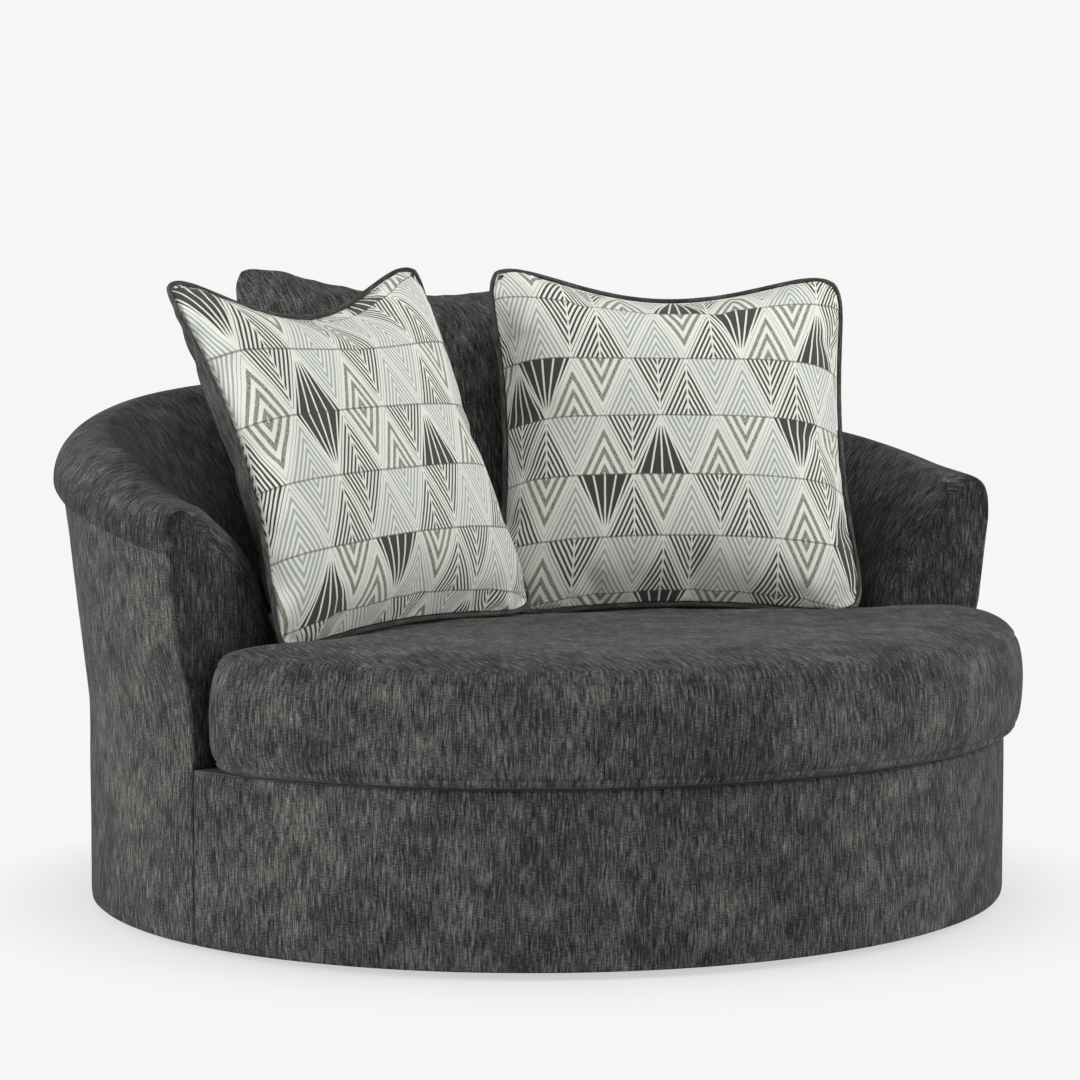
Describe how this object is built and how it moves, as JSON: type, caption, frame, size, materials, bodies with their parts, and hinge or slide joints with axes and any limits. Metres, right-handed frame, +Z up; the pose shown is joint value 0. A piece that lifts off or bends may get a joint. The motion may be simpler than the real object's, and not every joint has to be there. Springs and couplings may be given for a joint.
{
  "type": "swivel accent chair",
  "caption": "Oversized round barrel chair on a ball-bearing swivel plate, with a loose seat cushion, a loose back pillow and welted accent pillows.",
  "frame": {"origin": "on the floor, at the centre of the bounding box's bottom face; the swivel axis stands 29 mm nearer the front", "axes": "+Z up, and the front of the chair faces -Y, so the sitter's left is +X; node names say left for the side at -X, as seen from the front"},
  "size_m": [1.4976, 1.4573, 0.9693],
  "materials": {
    "chenille": "woven pile upholstery",
    "pattern": "woven jacquard",
    "welt": "fabric-covered cord",
    "cambric": "thin non-woven",
    "felt": "padded deck",
    "birch": "raw plywood",
    "steel": "black paint",
    "zinc": "zinc plated",
    "nylon": "moulded"
  },
  "bodies": {
    "floor_base": {"floor_ring": "steel", "floor_glide_1": "nylon", "floor_glide_2": "nylon", "floor_glide_3": "nylon", "floor_glide_4": "nylon", "floor_glide_5": "nylon", "floor_glide_6": "nylon", "base_cross": "steel", "swivel_lower_plate": "zinc", "lower_plate_bolt_1": "zinc", "lower_plate_bolt_2": "zinc", "lower_plate_bolt_3": "zinc", "lower_plate_bolt_4": "zinc", "pivot_bolt": "zinc", "pivot_washer": "zinc", "pivot_nut": "zinc"},
    "bearing": {"ball_cage": "zinc"},
    "chair": {"swivel_upper_plate": "zinc", "upper_plate_bolt_1": "zinc", "upper_plate_bolt_2": "zinc", "upper_plate_bolt_3": "zinc", "upper_plate_bolt_4": "zinc", "mounting_board": "birch", "front_base_board": "birch", "back_base_board": "birch", "base_rail": "birch", "seat_rail": "birch", "rear_spring_rail": "birch", "arm_post_left": "birch", "arm_post_right": "birch", "side_post_left": "birch", "side_post_right": "birch", "back_post_left": "birch", "back_post_right": "birch", "front_block_left": "birch", "front_block_middle": "birch", "front_block_right": "birch", "top_rail": "birch", "seat_spring_1": "steel", "seat_spring_2": "steel", "seat_spring_3": "steel", "seat_spring_4": "steel", "seat_spring_5": "steel", "seat_spring_6": "steel", "seat_deck": "felt", "dust_cover": "cambric", "inside_upholstery": "chenille", "arm_front_left": "chenille", "arm_front_right": "chenille", "outside_cover": "chenille", "front_band": "chenille"},
    "cushion": {"seat_cushion": "chenille"},
    "back_pillow_body": {"back_pillow": "chenille"},
    "left_pillow_body": {"accent_pillow_left": "pattern", "accent_welt_left": "welt"},
    "right_pillow_body": {"accent_pillow_right": "pattern", "accent_welt_right": "welt"}
  },
  "joints": [
    {"name": "swivel", "type": "hinge", "parent": "floor_base", "child": "chair", "pos_m": [0, -0.02904, 0], "axis": [0, 0, 1], "continuous": true},
    {"name": "bearing_roll", "type": "hinge", "parent": "floor_base", "child": "bearing", "pos_m": [0, -0.02904, 0], "axis": [0, 0, 1], "continuous": true},
    {"name": "cushion_lift", "type": "slide", "parent": "chair", "child": "cushion", "axis": [0, 0, 1], "range_m": [0, 0.3]},
    {"name": "back_pillow_lift", "type": "slide", "parent": "cushion", "child": "back_pillow_body", "axis": [0, 0, 1], "range_m": [0, 0.25]},
    {"name": "left_pillow_lift", "type": "slide", "parent": "cushion", "child": "left_pillow_body", "axis": [0, -0.5026, 0.8645], "range_m": [0, 0.3]},
    {"name": "right_pillow_lift", "type": "slide", "parent": "cushion", "child": "right_pillow_body", "axis": [0.5528, -0.4188, 0.7204], "range_m": [0, 0.3]}
  ],
  "couplings": [
    {"joint": "bearing_roll", "follows": "swivel", "ratio": 0.5}
  ]
}
